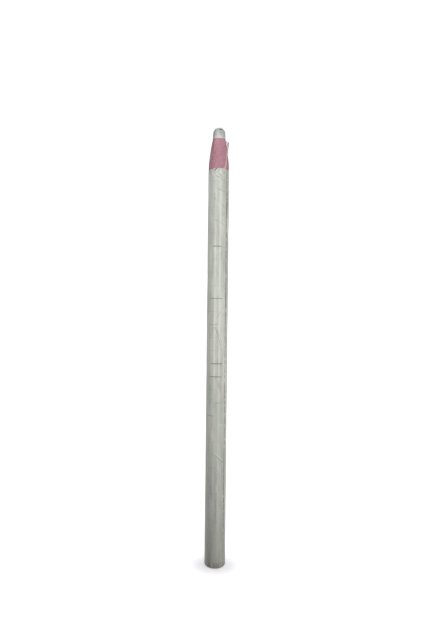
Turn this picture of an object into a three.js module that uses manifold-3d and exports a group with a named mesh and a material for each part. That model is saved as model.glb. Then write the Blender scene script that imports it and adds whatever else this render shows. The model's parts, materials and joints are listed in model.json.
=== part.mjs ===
// Peel-off grease pencil: a wax core wound in paper that is cut into rings, under a white paper wrapper.
// Millimetres, +Z up, origin at the centre of the flat cut end, marking tip at the top.

import * as THREE from 'three';
import { mergeVertices } from 'three/addons/utils/BufferGeometryUtils.js';
import Module from 'manifold-3d';

const wasm = await Module();
wasm.setup();

// Overall form
const pencilLength = 170;
const barrelDiameter = 8.2;
const coreDiameter = 4.8;
const exposedCoreLength = 3.6;
const coneLength = 12.8;
const coneBulge = 0.24;

// Rounded marking tip of the core
const domeLength = 2.1;
const domeFullness = 2;
const tipFlatDiameter = 1;

// Paper winding, cut right through into rings that peel off one by one
const ringPitch = 5;
const ringSlit = 0.12;
const coneLipHeight = 1.05;
const coneLipWall = 0.1;

// White wrapper, a single sheet bent round the winding
const wrapperThickness = 0.15;
const seamGap = 0.14;
const seamAzimuth = 52;
const edgeBevelHeight = 0.35;
const edgeBevelDepth = 0.07;

// Flat cut end, whose rim is pressed in a little all round
const endRounding = 1.2;
const endRoundingTurn = 60;

// Knife slits in the wrapper, two to a turn, each row turned a little from the last
const slitHeight = 0.16;
const slitsPerRow = 2;
const slitArc = 95;
const slitStartAzimuth = -12;
const slitDrift = -0.8;
const slitJitter = 9;
const slitJitterRate = 2.4;

// Pull thread, laid lengthwise under the wrapper, with a free end above it
const threadDiameter = 0.42;
const threadAzimuth = 36;
const threadBottomSetback = 1.5;
const threadBendRadius = 0.5;
const threadOverhang = 0.2;
const tailLength = 9.2;
const tailLean = 7;
const tailCurl = 0.5;
const tailPivotGap = 0.25;

// The free end's two plies: where each lies beside the thread's middle, and how far it strays by the top
const tailPlies = [
  { diameter: 0.42, aside: 0.09, stray: 0.05 },
  { diameter: 0.36, aside: -0.11, stray: -0.75 },
];

// Running clearances
const coreClearance = 0.03;
const wrapperClearance = 0.05;
const threadClearance = 0.07;

// How far cutters reach past what they cut
const cutterReach = 1;

// Edges shorter than this are closed up where the two plies part
const finestEdge = 0.01;

// Facets round each piece
const shownSegments = 36;
const hiddenSegments = 22;
const threadSides = 8;
const coneSteps = 4;
const domeSteps = 7;
const endSteps = 3;
const bendSteps = 5;
const slitCorners = 5;
const tailSteps = 6;

// Sizes that follow from the ones above
const coreRadius = coreDiameter / 2;
const barrelRadius = barrelDiameter / 2;
const coneTop = pencilLength - exposedCoreLength;
const wrapperTop = coneTop - coneLength;
const wrapperInnerRadius = barrelRadius - wrapperThickness;
const ringOuterRadius = wrapperInnerRadius - wrapperClearance;
const ringBoreRadius = coreRadius + coreClearance;
const coneTopRadius = ringBoreRadius + coneLipWall;
const coneBaseRadius = barrelRadius - edgeBevelDepth;
const threadRadius = threadDiameter / 2;
const threadCentre = ringOuterRadius - threadRadius;
const threadChannelFloor = threadCentre - threadRadius - threadClearance;
const threadChannelWidth = threadDiameter + 2 * threadClearance;

const radians = (degrees) => THREE.MathUtils.degToRad(degrees);

// The azimuth is measured from the front (-Y) towards +X.
function atAzimuth(azimuth, radius, z) {
  const angle = radians(azimuth);
  return new THREE.Vector3(radius * Math.sin(angle), -radius * Math.cos(angle), z);
}

// Closed geometry with only positions, its shared points merged, as a solid that can be cut.
function toSolid(geometry) {
  const bare = geometry.clone();
  bare.deleteAttribute('normal');
  bare.deleteAttribute('uv');
  const merged = mergeVertices(bare, 1e-5);
  return new wasm.Manifold(new wasm.Mesh({
    numProp: 3,
    vertProperties: new Float32Array(merged.attributes.position.array),
    triVerts: new Uint32Array(merged.index.array),
  }));
}

function toGeometry(solid) {
  const mesh = solid.getMesh();
  const geometry = new THREE.BufferGeometry();
  geometry.setAttribute('position', new THREE.BufferAttribute(mesh.vertProperties.slice(), 3));
  geometry.setIndex(new THREE.BufferAttribute(mesh.triVerts.slice(), 1));
  geometry.computeVertexNormals();
  return geometry;
}

// A profile of [radius, height] pairs turned about the pencil's axis.
function turned(profile, segments) {
  const geometry = new THREE.LatheGeometry(profile.map(([r, z]) => new THREE.Vector2(r, z)), segments);
  geometry.rotateX(Math.PI / 2);
  return geometry;
}

// An outline in the XY plane raised between two heights.
function raised(shape, bottom, top) {
  const geometry = new THREE.ExtrudeGeometry(shape, { depth: top - bottom, bevelEnabled: false });
  geometry.translate(0, 0, bottom);
  return geometry;
}

// Corners of the rounded rim, upwards from the cut end, of a surface that lies a depth inside the barrel.
function roundedRim(depth) {
  const corners = [];
  const height = endRounding * Math.sin(radians(endRoundingTurn));
  for (let step = endSteps; step >= 0; step -= 1) {
    const turn = radians(endRoundingTurn) * (step / endSteps);
    const r = barrelRadius - endRounding + (endRounding - depth) * Math.cos(turn);
    corners.push([r, step === endSteps ? 0 : height - (endRounding - depth) * Math.sin(turn)]);
  }
  return corners;
}

// Radius of the sanded cone at a height: straight from the wrapper to the lip, swelled a little between.
function coneRadiusAt(z) {
  const share = (z - wrapperTop) / (coneTop - coneLipHeight - wrapperTop);
  const straight = THREE.MathUtils.lerp(coneBaseRadius, coneTopRadius, share);
  return straight + 4 * coneBulge * share * (1 - share);
}

// Core: one rod of marking wax, flat at the cut end and domed at the tip.
function waxCore() {
  const profile = [[0, 0], [coreRadius, 0]];
  const domeStart = pencilLength - domeLength;
  const flatRadius = tipFlatDiameter / 2;
  for (let step = 0; step <= domeSteps; step += 1) {
    const turn = (step / domeSteps) * (Math.PI / 2);
    const across = Math.cos(turn) ** (2 / domeFullness);
    const along = Math.sin(turn) ** (2 / domeFullness);
    profile.push([THREE.MathUtils.lerp(flatRadius, coreRadius, across), domeStart + domeLength * along]);
  }
  profile.push([0, pencilLength]);
  return turned(profile, shownSegments);
}

// Upright channel in a ring's outermost turns, which the pull thread lies in.
function threadChannel(bottom, top) {
  const outline = new THREE.Shape();
  const half = threadChannelWidth / 2;
  const outside = barrelRadius + threadDiameter;
  outline.moveTo(threadChannelFloor, -half);
  outline.lineTo(outside, -half);
  outline.lineTo(outside, half);
  outline.lineTo(threadChannelFloor, half);
  outline.closePath();
  const channel = raised(outline, bottom - cutterReach, top + cutterReach);
  channel.rotateZ(radians(threadAzimuth - 90));
  return toSolid(channel);
}

// One ring of the winding under the wrapper. The lowest has the rounded rim.
function coveredRing(bottom, top) {
  const profile = [[ringBoreRadius, bottom]];
  if (bottom === 0) profile.push(...roundedRim(wrapperThickness + wrapperClearance));
  else profile.push([ringOuterRadius, bottom]);
  profile.push([ringOuterRadius, top], [ringBoreRadius, top], [ringBoreRadius, bottom]);
  const ring = toSolid(turned(profile, hiddenSegments));
  return toGeometry(ring.subtract(threadChannel(bottom, top)));
}

// A ring that the sharpening has cut to the cone. The topmost ends in a thin lip round the core.
function coneRing(bottom, top, hasLip) {
  const profile = [[ringBoreRadius, bottom]];
  const coneEnd = hasLip ? top - coneLipHeight : top;
  for (let step = 0; step <= coneSteps; step += 1) {
    const z = THREE.MathUtils.lerp(bottom, coneEnd, step / coneSteps);
    profile.push([coneRadiusAt(z), z]);
  }
  if (hasLip) profile.push([coneTopRadius, top]);
  profile.push([ringBoreRadius, top], [ringBoreRadius, bottom]);
  const ring = toSolid(turned(profile, shownSegments));
  return toGeometry(ring.subtract(threadChannel(bottom, top)));
}

// Cutter for one knife slit: a flat sector that reaches right through the wrapper.
function slitCutter(azimuth, z) {
  const outline = new THREE.Shape();
  const inside = ringBoreRadius;
  const outside = 2 * barrelRadius;
  for (let corner = 0; corner < slitCorners; corner += 1) {
    const angle = radians(azimuth - 90 + slitArc * (corner / (slitCorners - 1) - 0.5));
    const point = [outside * Math.cos(angle), outside * Math.sin(angle)];
    if (corner === 0) outline.moveTo(...point);
    else outline.lineTo(...point);
  }
  for (let corner = slitCorners - 1; corner >= 0; corner -= 1) {
    const angle = radians(azimuth - 90 + slitArc * (corner / (slitCorners - 1) - 0.5));
    outline.lineTo(inside * Math.cos(angle), inside * Math.sin(angle));
  }
  outline.closePath();
  return toSolid(raised(outline, z - slitHeight / 2, z + slitHeight / 2));
}

// Wrapper: a tube one sheet thick, open along its seam and cut by staggered slits.
function whiteWrapper(rowHeights) {
  const inside = roundedRim(wrapperThickness);
  const profile = [
    ...roundedRim(0),
    [barrelRadius, wrapperTop - edgeBevelHeight],
    [barrelRadius - edgeBevelDepth, wrapperTop],
    [wrapperInnerRadius, wrapperTop],
    ...inside.reverse(),
  ];
  profile.push(profile[0]);
  const tube = toSolid(turned(profile, shownSegments));
  const seam = new THREE.BoxGeometry(barrelRadius, seamGap, 2 * (wrapperTop + cutterReach));
  seam.translate(barrelRadius, 0, 0);
  seam.rotateZ(radians(seamAzimuth - 90));
  const cutters = [toSolid(seam)];
  rowHeights.forEach((z, row) => {
    const jitter = slitJitter * Math.sin(slitJitterRate * row);
    for (let slit = 0; slit < slitsPerRow; slit += 1) {
      const turn = (360 / slitsPerRow) * slit;
      cutters.push(slitCutter(slitStartAzimuth + slitDrift * row + jitter + turn, z));
    }
  });
  return toGeometry(tube.subtract(wasm.Manifold.union(cutters)));
}

// A thread with a section at each corner of its route, mitred there, and flat closed ends.
function sweptAlongCorners(points, diameter) {
  const sideways = atAzimuth(threadAzimuth + 90, 1, 0);
  const vertices = [];
  const faces = [];
  points.forEach((point, index) => {
    const before = point.clone().sub(points[Math.max(index - 1, 0)]).normalize();
    const after = points[Math.min(index + 1, points.length - 1)].clone().sub(point).normalize();
    const along = before.clone().add(after).normalize();
    const across = along.clone().cross(sideways).normalize();
    const mitre = 1 / Math.max(along.dot(index === 0 ? after : before), 0.5);
    for (let side = 0; side < threadSides; side += 1) {
      const angle = (2 * Math.PI * side) / threadSides;
      const corner = point.clone();
      corner.addScaledVector(sideways, (diameter / 2) * Math.cos(angle));
      corner.addScaledVector(across, mitre * (diameter / 2) * Math.sin(angle));
      vertices.push(corner.x, corner.y, corner.z);
    }
  });
  for (let section = 0; section < points.length - 1; section += 1) {
    for (let side = 0; side < threadSides; side += 1) {
      const low = section * threadSides;
      const next = (side + 1) % threadSides;
      faces.push(low + side, low + next, low + threadSides + side);
      faces.push(low + next, low + threadSides + next, low + threadSides + side);
    }
  }
  const last = (points.length - 1) * threadSides;
  for (let side = 1; side < threadSides - 1; side += 1) {
    faces.push(0, side + 1, side);
    faces.push(last, last + side, last + side + 1);
  }
  const geometry = new THREE.BufferGeometry();
  geometry.setAttribute('position', new THREE.Float32BufferAttribute(vertices, 3));
  geometry.setIndex(faces);
  geometry.computeVertexNormals();
  return geometry;
}

// Thread inside the barrel, which turns outwards over the wrapper's top edge.
function pullThread(pivot) {
  const points = [atAzimuth(threadAzimuth, threadCentre, threadBottomSetback)];
  const bendStart = pivot.z - threadBendRadius;
  points.push(atAzimuth(threadAzimuth, threadCentre, bendStart - ringPitch));
  for (let step = 0; step <= bendSteps; step += 1) {
    const turn = (step / bendSteps) * (Math.PI / 2);
    const radius = threadCentre + threadBendRadius * (1 - Math.cos(turn));
    points.push(atAzimuth(threadAzimuth, radius, bendStart + threadBendRadius * Math.sin(turn)));
  }
  points.push(atAzimuth(threadAzimuth, pivot.radius - tailPivotGap, pivot.z));
  return sweptAlongCorners(points, threadDiameter);
}

// Free end of the thread: two plies that lean outwards beside the cone and part towards the top.
function threadTail(pivot) {
  const sideways = atAzimuth(threadAzimuth + 90, 1, 0);
  const plies = tailPlies.map((ply) => {
    const points = [];
    for (let step = 0; step <= tailSteps; step += 1) {
      const share = step / tailSteps;
      const rise = tailPivotGap + (tailLength - tailPivotGap) * share;
      const lean = rise * Math.tan(radians(tailLean)) + tailCurl * share ** 2;
      const point = atAzimuth(threadAzimuth, pivot.radius + lean, pivot.z + rise);
      points.push(point.addScaledVector(sideways, ply.aside + ply.stray * share ** 2));
    }
    return toSolid(sweptAlongCorners(points, ply.diameter));
  });
  return toGeometry(wasm.Manifold.union(plies).simplify(finestEdge));
}

const paint = (color, roughness) => new THREE.MeshStandardMaterial({ color, roughness, metalness: 0 });
const waxFinish = paint(0xbfc2ba, 0.55);
const pinkPaperFinish = paint(0xb98793, 0.85);
const wrapperFinish = paint(0xe6e5da, 0.42);
const threadFinish = paint(0xe8d8d4, 0.9);

const pencil = new THREE.Group();

function addPiece(name, geometry, material) {
  const mesh = new THREE.Mesh(geometry, material);
  mesh.name = name;
  pencil.add(mesh);
}

addPiece('wax_core', waxCore(), waxFinish);

// Ring boundaries: one across the cone, one at the wrapper's edge, and then one for every pitch below.
const boundaries = [coneTop, wrapperTop + ringPitch, wrapperTop];
const slitRows = [];
while (boundaries.at(-1) > ringPitch) {
  const next = boundaries.at(-1) - ringPitch;
  boundaries.push(next);
  slitRows.push(next);
}
boundaries.push(0);

for (let ring = 1; ring < boundaries.length; ring += 1) {
  const name = `paper_ring_${String(ring).padStart(2, '0')}`;
  const top = boundaries[ring - 1] - (ring === 1 ? 0 : ringSlit / 2);
  const bottom = boundaries[ring] + (ring === boundaries.length - 1 ? 0 : ringSlit / 2);
  const geometry = ring <= 2 ? coneRing(bottom, top, ring === 1) : coveredRing(bottom, top);
  addPiece(name, geometry, pinkPaperFinish);
}

addPiece('white_wrapper', whiteWrapper(slitRows), wrapperFinish);

const tailPivot = {
  radius: Math.max(barrelRadius + threadOverhang, threadCentre + threadBendRadius + tailPivotGap),
  z: wrapperTop + threadRadius + threadOverhang,
};
addPiece('pull_thread', pullThread(tailPivot), threadFinish);
addPiece('thread_tail', threadTail(tailPivot), threadFinish);

export default pencil;
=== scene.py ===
import json
import random
from math import atan2, cos, exp, pi, radians, sin, sqrt, tan, tau

import bmesh
import bpy
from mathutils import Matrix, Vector, noise
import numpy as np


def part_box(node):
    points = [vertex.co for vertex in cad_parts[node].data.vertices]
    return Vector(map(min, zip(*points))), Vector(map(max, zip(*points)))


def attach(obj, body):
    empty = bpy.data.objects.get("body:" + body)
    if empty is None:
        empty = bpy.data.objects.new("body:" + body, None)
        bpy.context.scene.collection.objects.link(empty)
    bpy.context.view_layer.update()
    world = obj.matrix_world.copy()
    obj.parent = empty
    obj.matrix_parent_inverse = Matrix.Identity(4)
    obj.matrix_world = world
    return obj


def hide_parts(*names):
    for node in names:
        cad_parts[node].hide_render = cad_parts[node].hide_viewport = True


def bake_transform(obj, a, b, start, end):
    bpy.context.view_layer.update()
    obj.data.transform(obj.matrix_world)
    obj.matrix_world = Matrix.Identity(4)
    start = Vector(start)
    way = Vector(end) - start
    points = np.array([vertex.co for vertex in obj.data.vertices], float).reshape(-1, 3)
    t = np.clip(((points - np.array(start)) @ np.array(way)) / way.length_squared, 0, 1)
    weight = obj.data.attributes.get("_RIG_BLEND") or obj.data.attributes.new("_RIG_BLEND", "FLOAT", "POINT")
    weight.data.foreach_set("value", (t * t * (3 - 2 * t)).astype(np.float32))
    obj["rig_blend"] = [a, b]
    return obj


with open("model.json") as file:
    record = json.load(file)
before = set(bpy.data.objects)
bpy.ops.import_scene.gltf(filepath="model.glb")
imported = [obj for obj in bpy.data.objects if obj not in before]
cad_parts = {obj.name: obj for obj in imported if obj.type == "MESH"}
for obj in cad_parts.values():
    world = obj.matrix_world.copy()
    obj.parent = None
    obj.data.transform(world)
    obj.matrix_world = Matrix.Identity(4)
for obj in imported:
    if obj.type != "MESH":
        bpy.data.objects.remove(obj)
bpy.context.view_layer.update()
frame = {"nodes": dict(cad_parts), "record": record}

mm = 0.001
scene = bpy.context.scene


# The table top and the sweep behind it: a pale seamless board that curves up a long way back.
# It carries the pencil's soft shadow, and the camera sees it as white away from the foot, while close round
# the foot its glow is dimmed to paint a soft shadow.
floor_reach = 1.5
sweep_start = 0.9
sweep_radius = 0.5
sweep_steps = 16
floor_colour = (0.76, 0.75, 0.82)
# Glow at the foot, dimmed to paint a soft shadow, and the reaches over which it rises to white.
foot_shadow_glow = 0.52
mirror_lift = 0.5
painted_shadow_inner = 2.5 * mm
painted_shadow_outer = 15.5 * mm


class Wiring:
    """A node tree, whose nodes are fed with sockets or with plain values."""

    def __init__(self, tree):
        self.nodes = tree.nodes
        self.links = tree.links

    def feed(self, socket, value):
        """A socket is linked, a number or a colour is set, and None leaves the input alone."""
        if isinstance(value, bpy.types.NodeSocket):
            self.links.new(value, socket)
        elif value is not None:
            socket.default_value = (*value, 1) if socket.type == "RGBA" else value

    def node(self, kind, *values):
        """A new node, with the values fed to its inputs in their order."""
        node = self.nodes.new("ShaderNode" + kind)
        for socket, value in zip(node.inputs, values):
            self.feed(socket, value)
        return node

    def maths(self, operation, first, second=None):
        node = self.node("Math", first, second)
        node.operation = operation
        return node.outputs[0]

    def times(self, first, second):
        return self.maths("MULTIPLY", first, second)

    def plus(self, first, second):
        return self.maths("ADD", first, second)

    def minus(self, first, second):
        return self.maths("SUBTRACT", first, second)

    def largest(self, shares):
        most = shares[0]
        for share in shares[1:]:
            most = self.maths("MAXIMUM", most, share)
        return most

    def vectors(self, operation, first, second=None):
        node = self.node("VectorMath", first, second)
        node.operation = operation
        return node

    def fade(self, value, start, end, low, high):
        """A smooth step from low at the start value to high at the end value."""
        node = self.node("MapRange", value, start, end, low, high)
        node.interpolation_type = "SMOOTHSTEP"
        return node.outputs["Result"]


def made_by(result, kind):
    """The corners or the edges among what a mesh operator made."""
    return [item for item in result if isinstance(item, kind)]


def finished_piece(name, shape, material):
    """The shape as an object of the scene, with its finish."""
    mesh = bpy.data.meshes.new(name)
    shape.to_mesh(mesh)
    shape.free()
    mesh.polygons.foreach_set("use_smooth", [True] * len(mesh.polygons))
    piece = bpy.data.objects.new(name, mesh)
    scene.collection.objects.link(piece)
    mesh.materials.append(material)
    return piece


def sweep_board_shape():
    board = bmesh.new()
    front_edge = [board.verts.new((side * floor_reach, -floor_reach, 0)) for side in (-1, 1)]
    floor = bmesh.ops.extrude_edge_only(board, edges=[board.edges.new(front_edge)])["geom"]
    back_corners = made_by(floor, bmesh.types.BMVert)
    back_edge = made_by(floor, bmesh.types.BMEdge)
    bmesh.ops.translate(board, verts=back_corners, vec=(0, floor_reach + sweep_start, 0))
    curve = bmesh.ops.spin(
        board, geom=back_corners + back_edge, cent=(0, sweep_start, sweep_radius), axis=(1, 0, 0),
        angle=pi / 2, steps=sweep_steps, use_merge=False, use_duplicate=False,
    )["geom_last"]
    wall = bmesh.ops.extrude_edge_only(board, edges=made_by(curve, bmesh.types.BMEdge))["geom"]
    bmesh.ops.translate(board, verts=made_by(wall, bmesh.types.BMVert), vec=(0, 0, floor_reach))
    bmesh.ops.remove_doubles(board, verts=board.verts, dist=1e-5)
    bmesh.ops.recalc_face_normals(board, faces=board.faces)
    return board


def white_sweep_finish():
    """Dull board that also glows white to the camera, and less so close round the foot, where the dimmed glow
    paints a soft shadow.
    """
    material = bpy.data.materials.new("white_sweep")
    material.use_nodes = True
    sweep = Wiring(material.node_tree)
    sweep.nodes.clear()
    place = sweep.node("TexCoord").outputs["Object"]
    reach = sweep.vectors("LENGTH", place).outputs["Value"]
    # The glow is dimmed round the foot, which paints a soft shadow there.
    glow_with_painted_shadow = sweep.fade(reach, painted_shadow_inner, painted_shadow_outer, foot_shadow_glow, 1.0)
    rays = sweep.node("LightPath").outputs
    mirrored = sweep.times(rays["Is Glossy Ray"], mirror_lift)
    seen = sweep.maths("MAXIMUM", rays["Is Camera Ray"], mirrored)
    board = sweep.node("BsdfDiffuse", floor_colour)
    glow = sweep.node("Emission", (1, 1, 1), sweep.times(seen, glow_with_painted_shadow))
    both = sweep.node("AddShader", board.outputs[0], glow.outputs[0])
    sweep.node("OutputMaterial", both.outputs[0])
    return material


sweep_board = finished_piece("sweep_board", sweep_board_shape(), white_sweep_finish())


# The studio: soft room light, a lamp in front whose beam fades low down on the barrel, a faint one from
# the side and two behind. Two tall strips that only reflections see draw the satin streaks on the wrapper.
room_light = 0.185

# Each as (name, azimuth, height, distance, size, watts, height aimed at, width of the beam in degrees).
beam_lamps = (
    ("front_lamp", 6, 0.28, 0.50, (0.12, 0.20), 0.067, 0.136, 16),
    ("side_lamp", 62, 0.10, 0.60, (0.20, 0.12), 0.026, 0.0, 20),
    ("back_left_lamp", -138, 0.28, 0.50, (0.12, 0.20), 0.043, 0.14, 16),
    ("back_right_lamp", 138, 0.28, 0.50, (0.12, 0.20), 0.043, 0.14, 16),
)
satin_strips = (
    ("left_strip", -24, 0.20, 0.55, (0.12, 0.60), 0.85, 0.15, 180),
    ("right_strip", 20, 0.20, 0.55, (0.12, 0.60), 1.1, 0.15, 180),
)

scene.view_settings.view_transform = "Standard"
scene.world = bpy.data.worlds.new("studio")
scene.world.use_nodes = True
sky = Wiring(scene.world.node_tree)
sky.nodes.clear()
sky_rays = sky.node("LightPath").outputs
sky_seen = sky.maths("MAXIMUM", sky_rays["Is Camera Ray"], sky_rays["Is Glossy Ray"])
lit_sky = sky.node("Background", (1, 1, 1), room_light)
white_sky = sky.node("Background", (1, 1, 1))
either_sky = sky.node("MixShader", sky_seen, lit_sky.outputs[0], white_sky.outputs[0])
sky.node("OutputWorld", either_sky.outputs[0])


def lamp(name, azimuth, height, distance, size, watts, aim, spread):
    light = bpy.data.lights.new(name, "AREA")
    light.shape = "RECTANGLE"
    light.size, light.size_y = size
    light.energy = watts
    light.spread = radians(spread)
    holder = bpy.data.objects.new(name, light)
    angle = radians(azimuth)
    holder.location = (distance * sin(angle), -distance * cos(angle), height)
    facing = Vector((0, 0, aim)) - holder.location
    holder.rotation_euler = facing.to_track_quat("-Z", "Y").to_euler()
    scene.collection.objects.link(holder)
    return holder


for settings in beam_lamps:
    lamp(*settings).visible_glossy = False
for settings in satin_strips:
    lamp(*settings).visible_diffuse = False


# The camera stands level with the upper half of the pencil, as in the photograph.
# Photograph sizes are in its own pixels, and the pencil's ends give the scale.
photo_width = 421
photo_height = 631
photo_tip_row = 128.2
photo_base_row = 564.7
photo_barrel_column = 217.3
photo_lean = -0.6
camera_distance = 0.22
sensor = 36.0

pencil_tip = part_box("wax_core")[1][2]
pixel = pencil_tip / (photo_base_row - photo_tip_row)
camera = bpy.data.objects.new("camera", bpy.data.cameras.new("camera"))
camera.data.sensor_width = sensor
camera.data.lens = sensor * camera_distance / (photo_height * pixel)
camera.location = (
    -(photo_barrel_column - photo_width / 2) * pixel,
    -camera_distance,
    (photo_base_row - photo_height / 2) * pixel,
)
camera.rotation_euler = (pi / 2, radians(photo_lean), 0)
camera.data.clip_start = 0.01
scene.collection.objects.link(camera)
scene.camera = camera


# The core: a rod of hard marking wax, extruded and cut to length, which the paper is wound on.
# It is pale grey-green, domed at the tip, and the bare end is scuffed, pitted and chipped.
dome_length = 2.1 * mm
dome_fullness = 2.0
tip_flat = 0.5 * mm
core_steps = 120
bare_rows = 40
dome_rows = 44
bare_margin = 1 * mm
wear_margin = 1.5 * mm
core_seed = 5
core_pits = 46
core_wear = 0.035 * mm
core_wear_size = 1.3 * mm
core_grit = 0.018 * mm
core_grit_size = 0.32 * mm

# Chips as (azimuth in degrees, distance below the tip, depth), all cut at one tilt.
core_chips = (
    (64, 0.55 * mm, 0.085 * mm),
    (20, 0.25 * mm, 0.03 * mm),
    (-84, 1.5 * mm, 0.04 * mm),
    (155, 0.9 * mm, 0.07 * mm),
)
chip_tilt = radians(38)

wax_tones = ((0.32, (0.365, 0.395, 0.37)), (0.5, (0.506, 0.532, 0.512)), (0.66, (0.60, 0.626, 0.612)))
rubbed_wax = (0.70, 0.715, 0.69)
speck_tone = (0.22, 0.23, 0.20)
scuff_tone = (0.20, 0.21, 0.19)
scuff_drop = 0.55 * mm
scuff_aside = 1.0 * mm
scuff_half_length = 0.7 * mm
scuff_half_width = 0.16 * mm
scuff_lean = -0.3
scuff_sway = 1.6 * mm


class Finish(Wiring):
    """A material as it is put together, with the tone and the relief of its surface so far."""

    def __init__(self, name, colour, roughness):
        self.material = bpy.data.materials.new(name)
        self.material.use_nodes = True
        super().__init__(self.material.node_tree)
        self.shader = self.nodes["Principled BSDF"]
        self.place = self.node("TexCoord").outputs["Object"]
        self.tone = None
        self.relief = None
        self.set("Base Color", colour)
        self.set("Roughness", roughness)

    def set(self, name, value):
        self.feed(self.shader.inputs[name], value)

    def grain(self, scale, detail=3.0, roughness=0.5, offset=(0, 0, 0), slant=0.0):
        """Noise on the piece's own place, with a scale for each axis in cycles per metre."""
        slanted = self.node("VectorRotate", self.place)
        slanted.rotation_type = "Y_AXIS"
        slanted.inputs["Angle"].default_value = slant
        mapping = self.node("Mapping", slanted.outputs["Vector"])
        mapping.inputs["Scale"].default_value = scale
        mapping.inputs["Location"].default_value = offset
        texture = self.node("TexNoise", mapping.outputs["Vector"])
        texture.inputs["Scale"].default_value = 1.0
        texture.inputs["Detail"].default_value = detail
        texture.inputs["Roughness"].default_value = roughness
        return texture.outputs["Fac"]

    def ramp(self, source, stops):
        """A colour ramp from (position, colour) stops."""
        node = self.node("ValToRGB", source)
        elements = node.color_ramp.elements
        while len(elements) < len(stops):
            elements.new(0.5)
        for element, (position, colour) in zip(elements, stops):
            element.position = position
            element.color = (*colour, 1)
        return node.outputs["Color"]

    def share(self, source, *stops):
        """A ramp of plain shares, from (position, share) stops."""
        return self.ramp(source, [(position, (level, level, level)) for position, level in stops])

    def paint(self, share, colour):
        """Lay a share of a colour over the tone so far."""
        node = self.node("Mix", share)
        node.data_type = "RGBA"
        self.feed(node.inputs[6], self.tone)
        self.feed(node.inputs[7], colour)
        self.tone = node.outputs[2]

    def bump(self, height, distance, strength=1.0):
        """Lay a bump over the relief so far."""
        node = self.node("Bump")
        node.inputs["Strength"].default_value = strength
        node.inputs["Distance"].default_value = distance
        self.feed(node.inputs["Height"], height)
        self.feed(node.inputs["Normal"], self.relief)
        self.relief = node.outputs[0]

    def near(self, value, middle, half, soft):
        """1 within half of the middle value, and down to 0 a soft edge further."""
        away = self.maths("ABSOLUTE", self.minus(value, middle))
        return self.fade(away, half, half + soft, 1.0, 0.0)

    def done(self):
        """The material, with its tone and its relief joined to the shader."""
        self.set("Base Color", self.tone)
        self.set("Normal", self.relief)
        return self.material


def half_width(node):
    """Half of the width of a solid from side to side."""
    low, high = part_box(node)
    return (high[0] - low[0]) / 2


def azimuth_of(point):
    """The angle round the pencil, in radians from the front towards +X."""
    return atan2(point.x, -point.y)


def arc_between(first, second):
    """The signed angle from the second azimuth to the first, the short way round."""
    return (first - second + pi) % tau - pi


def turned(outline, steps, closed=False):
    """A shape of (radius, height) points spun once about the pencil's axis."""
    shape = bmesh.new()
    corners = [shape.verts.new((0, -radius, z)) for radius, z in outline]
    pairs = list(zip(corners, corners[1:]))
    if closed:
        pairs.append((corners[-1], corners[0]))
    lines = [shape.edges.new(pair) for pair in pairs]
    bmesh.ops.spin(
        shape, geom=corners + lines, cent=(0, 0, 0), axis=(0, 0, 1),
        angle=tau, steps=steps, use_merge=True, use_duplicate=False,
    )
    bmesh.ops.remove_doubles(shape, verts=shape.verts, dist=1e-7)
    bmesh.ops.recalc_face_normals(shape, faces=shape.faces)
    return shape


def marking_wax_finish():
    wax = Finish("marking_wax", (0.56, 0.585, 0.545), 0.42)
    cloud = wax.grain((850, 850, 700), 4)
    wax.tone = wax.ramp(cloud, wax_tones)
    rubs = wax.grain((900, 900, 5200), 5, 0.62)
    wax.paint(wax.share(rubs, (0.54, 0), (0.70, 0.55)), rubbed_wax)
    specks = wax.grain((2600, 2600, 2600), 2)
    wax.paint(wax.share(specks, (0.64, 0), (0.72, 0.6)), speck_tone)

    # One dark scuff leans across the dome on the right of the front.
    x, _, z = wax.node("SeparateXYZ", wax.place).outputs
    sway = wax.times(wax.grain((1500, 1500, 1500), 3), scuff_sway)
    leaning = wax.plus(wax.plus(z, sway), wax.times(x, scuff_lean))
    level = wax.near(leaning, pencil_tip - scuff_drop, scuff_half_width, 0.25 * mm)
    scuff = wax.times(level, wax.near(x, scuff_aside, scuff_half_length, scuff_half_length))
    wax.paint(wax.times(scuff, 0.8), scuff_tone)

    wax.set("Roughness", wax.share(rubs, (0.35, 0.52), (0.7, 0.8)))
    wax.set("Specular IOR Level", 0.16)
    wax.set("Subsurface Weight", 0.2)
    wax.set("Subsurface Radius", (1.0, 0.95, 0.8))
    wax.set("Subsurface Scale", 0.6 * mm)
    wax.bump(cloud, 0.08 * mm, 0.8)
    wax.bump(rubs, 0.03 * mm, 0.9)
    return wax.done()


core_radius = half_width("wax_core")
cone_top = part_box("paper_ring_01")[1][2]


def core_outline():
    dome_start = pencil_tip - dome_length
    bare_start = cone_top - bare_margin
    rows = [(0, 0), (core_radius, 0), (core_radius, cone_top - 20 * mm), (core_radius, cone_top - 10 * mm)]
    for row in range(bare_rows):
        rows.append((core_radius, bare_start + (dome_start - bare_start) * row / bare_rows))
    for row in range(dome_rows + 1):
        turn = pi / 2 * row / dome_rows
        across = max(cos(turn), 0) ** (2 / dome_fullness)
        along = sin(turn) ** (2 / dome_fullness)
        rows.append((tip_flat + (core_radius - tip_flat) * across, dome_start + dome_length * along))
    return rows + [(tip_flat * 0.5, pencil_tip), (0, pencil_tip)]


def scattered_pits():
    """Small pits over the bare end, as (azimuth, height, size, depth)."""
    dice = random.Random(core_seed)
    pits = []
    for _ in range(core_pits):
        azimuth = dice.uniform(-pi, pi)
        height = cone_top + 0.4 * mm + dice.random() ** 0.8 * (pencil_tip - cone_top - 0.5 * mm)
        size = dice.uniform(0.09, 0.34) * mm
        pits.append((azimuth, height, size, dice.uniform(0.10, 0.28) * size))
    return pits


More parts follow.
